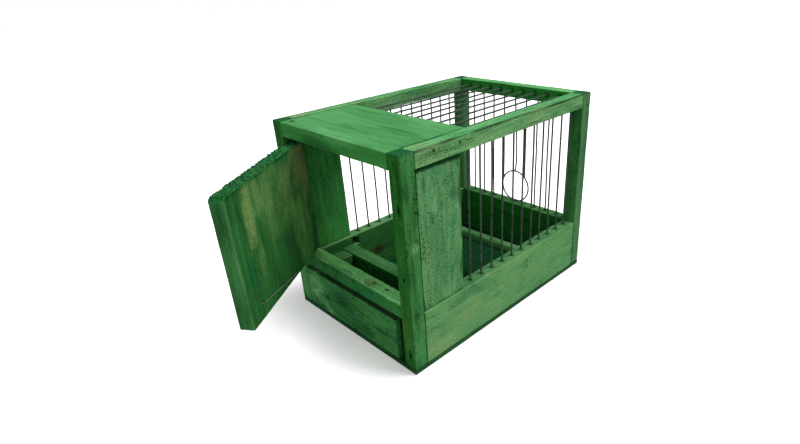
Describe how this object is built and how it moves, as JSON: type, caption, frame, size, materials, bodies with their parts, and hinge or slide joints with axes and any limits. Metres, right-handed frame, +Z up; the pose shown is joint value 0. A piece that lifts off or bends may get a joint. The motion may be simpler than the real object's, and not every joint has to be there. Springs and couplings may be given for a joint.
{
  "type": "canary cage",
  "caption": "Small wooden box cage with wire grilles, a solid door turning on pins, a seed drawer under a feeding slot, a perch and a wire ring for a drinking glass.",
  "frame": {"origin": "middle of the underside of the base board", "axes": "+Z up; the door and the drawer face -Y; +X towards the side that is on the right when one looks in at the door"},
  "size_m": [0.18, 0.3689, 0.2],
  "materials": {
    "base_ply": "dark green stain on a thin board",
    "door_wood": "green stain over brownish wood with vertical grain, matt",
    "drawer_wood": "green stain, unsanded",
    "end_wood": "green stain, darker where the stain pooled, matt",
    "nail": "dull steel nail, stained over",
    "panel_wood": "thin green stain, mottled, matt",
    "wire": "dull dark steel wire",
    "wood": "thin green stain over coarse, hand-sawn softwood, matt"
  },
  "bodies": {
    "cage": {"base_board": "base_ply", "door_pin_bottom": "nail", "door_pin_top": "nail", "drinker_ring": "wire", "feeder_block_left": "wood", "feeder_block_right": "wood", "feeder_ledge": "wood", "feeder_partition": "drawer_wood", "front_left_post": "wood", "front_right_post": "wood", "left_bottom_rail": "wood", "left_panel": "panel_wood", "left_top_rail_and_wires": "wood", "perch": "wood", "rear_bottom_rail": "end_wood", "rear_left_post": "wood", "rear_right_post": "wood", "rear_top_rail": "wood", "rear_wire_1": "wire", "rear_wire_2": "wire", "rear_wire_3": "wire", "rear_wire_4": "wire", "rear_wire_5": "wire", "rear_wire_6": "wire", "right_bottom_rail": "wood", "right_panel": "panel_wood", "right_top_rail": "wood", "right_wire_1": "wire", "right_wire_10": "wire", "right_wire_11": "wire", "right_wire_2": "wire", "right_wire_3": "wire", "right_wire_4": "wire", "right_wire_5": "wire", "right_wire_6": "wire", "right_wire_7": "wire", "right_wire_8": "wire", "right_wire_9": "wire", "roof_board": "wood", "roof_wire_1": "wire", "roof_wire_2": "wire", "roof_wire_3": "wire", "roof_wire_4": "wire", "roof_wire_5": "wire", "roof_wire_6": "wire", "roof_wire_7": "wire", "roof_wire_8": "wire", "roof_wire_9": "wire", "sill_rail": "wood"},
    "door": {"door": "door_wood", "door_wire": "wire"},
    "drawer": {"drawer_back": "drawer_wood", "drawer_floor": "drawer_wood", "drawer_front": "end_wood", "drawer_side_left": "drawer_wood", "drawer_side_right": "drawer_wood"}
  },
  "joints": [
    {"name": "door_hinge", "type": "hinge", "parent": "cage", "child": "door", "pos_m": [-0.068, -0.1215, 0.125], "axis": [0, 0, 1], "range_deg": [-44, 54.2]},
    {"name": "drawer_slide", "type": "slide", "parent": "cage", "child": "drawer", "axis": [0, -1, 0], "range_m": [0, 0.045]}
  ]
}
